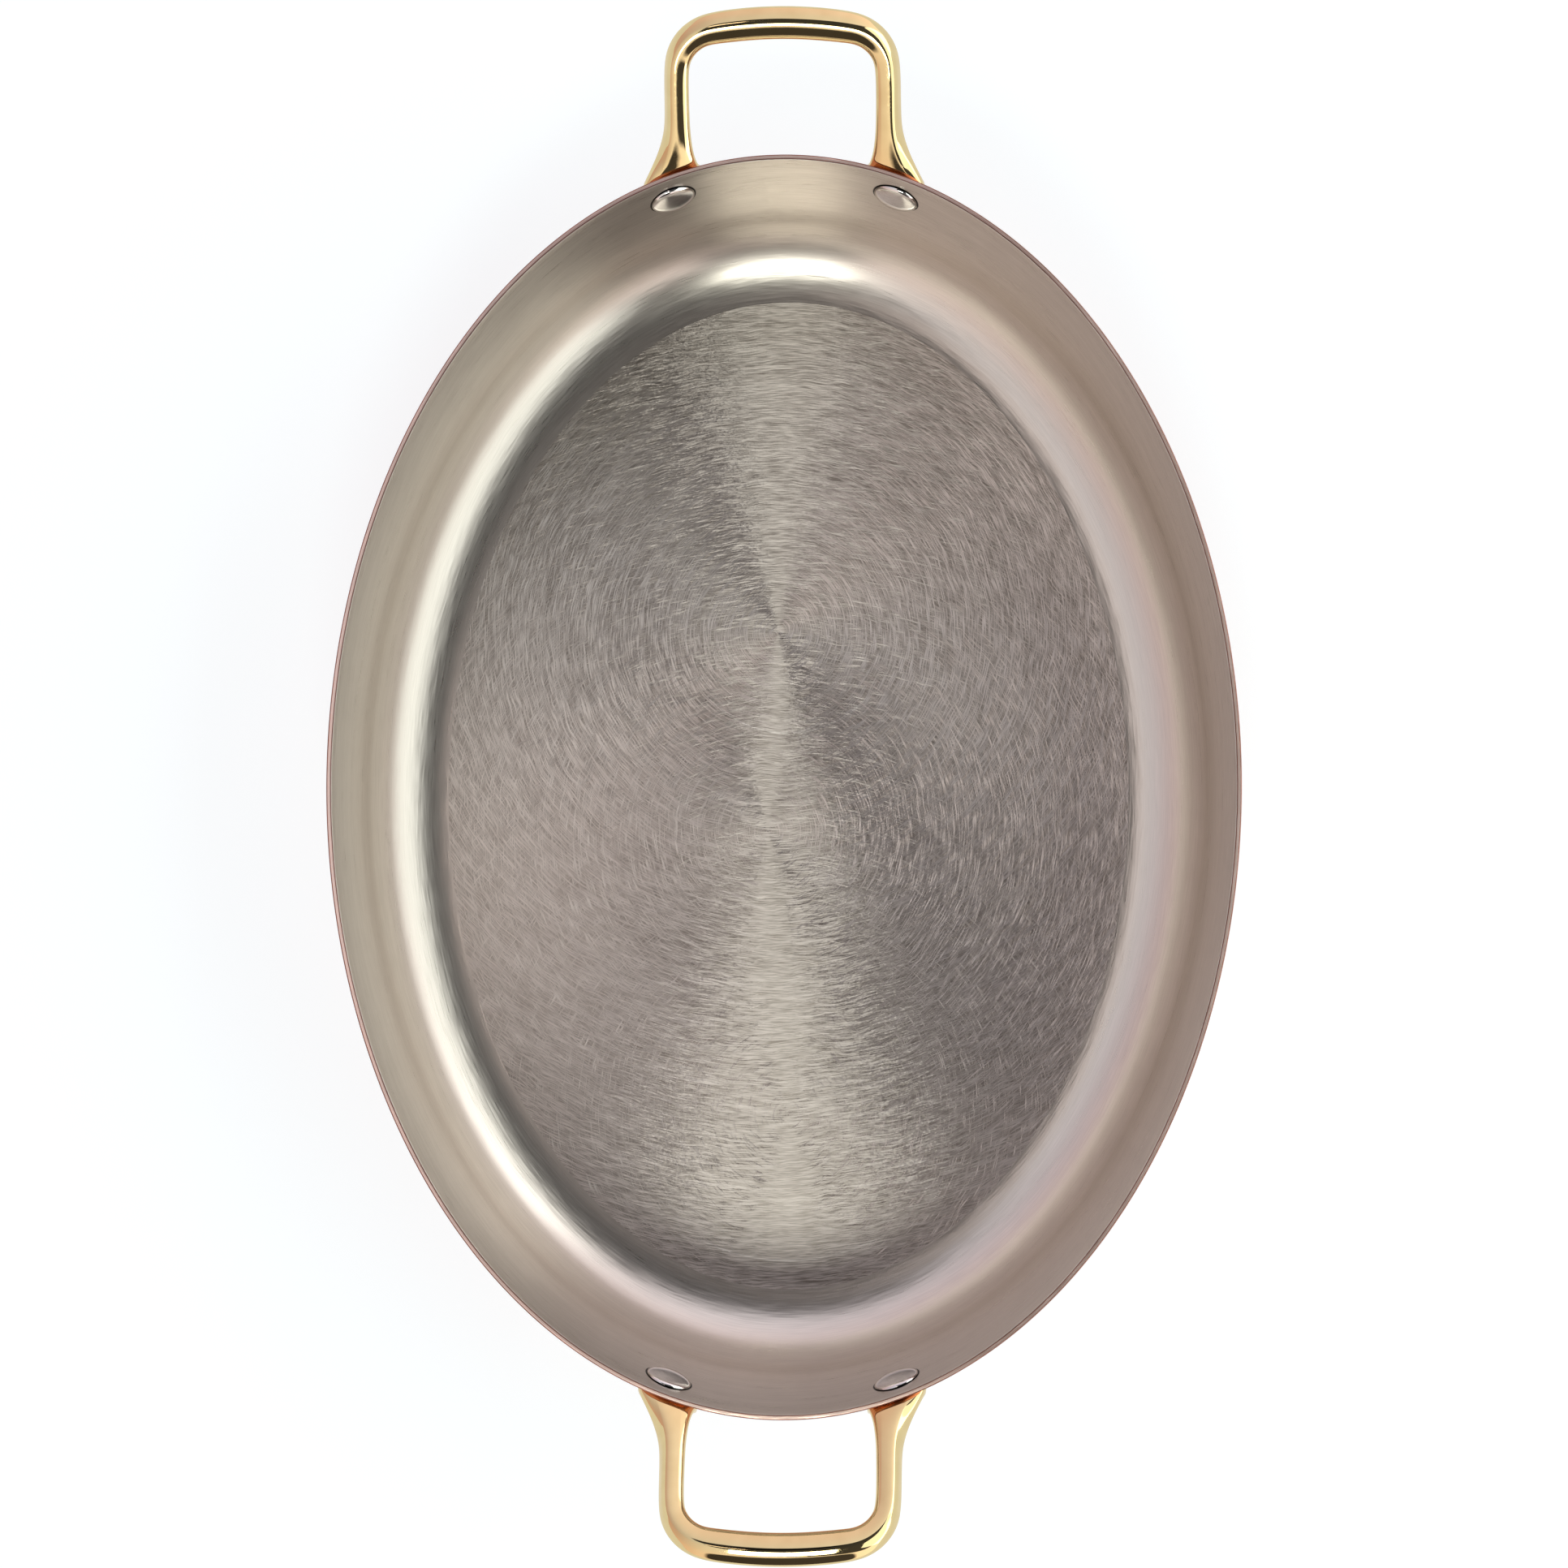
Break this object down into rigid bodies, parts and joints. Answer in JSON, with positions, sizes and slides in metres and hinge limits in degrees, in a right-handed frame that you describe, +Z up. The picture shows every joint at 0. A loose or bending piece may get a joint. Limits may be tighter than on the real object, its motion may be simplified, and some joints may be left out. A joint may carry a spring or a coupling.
{
  "type": "oval roasting pan",
  "caption": "Oval copper roasting pan with a brushed steel lining, flared walls, a flat floor and a riveted cast brass loop handle at each end.",
  "frame": {"origin": "middle of the flat base, on its underside", "axes": "+Z up out of the pan, +Y along the long axis towards the far handle, +X across it"},
  "size_m": [0.26, 0.4348, 0.0809],
  "materials": {
    "copper_sheet": "satin copper, brushed round the wall, with a bare cut edge at the rim",
    "brushed_steel_lining": "satin stainless steel, brushed round the wall and in arcs on the floor",
    "cast_brass": "cast and polished",
    "rivet_steel": "polished stainless steel"
  },
  "bodies": {
    "root": {"copper_shell": "copper_sheet", "steel_lining": "brushed_steel_lining", "far_handle": "cast_brass", "near_handle": "cast_brass", "far_left_rivet": "rivet_steel", "far_right_rivet": "rivet_steel", "near_left_rivet": "rivet_steel", "near_right_rivet": "rivet_steel"}
  },
  "joints": []
}
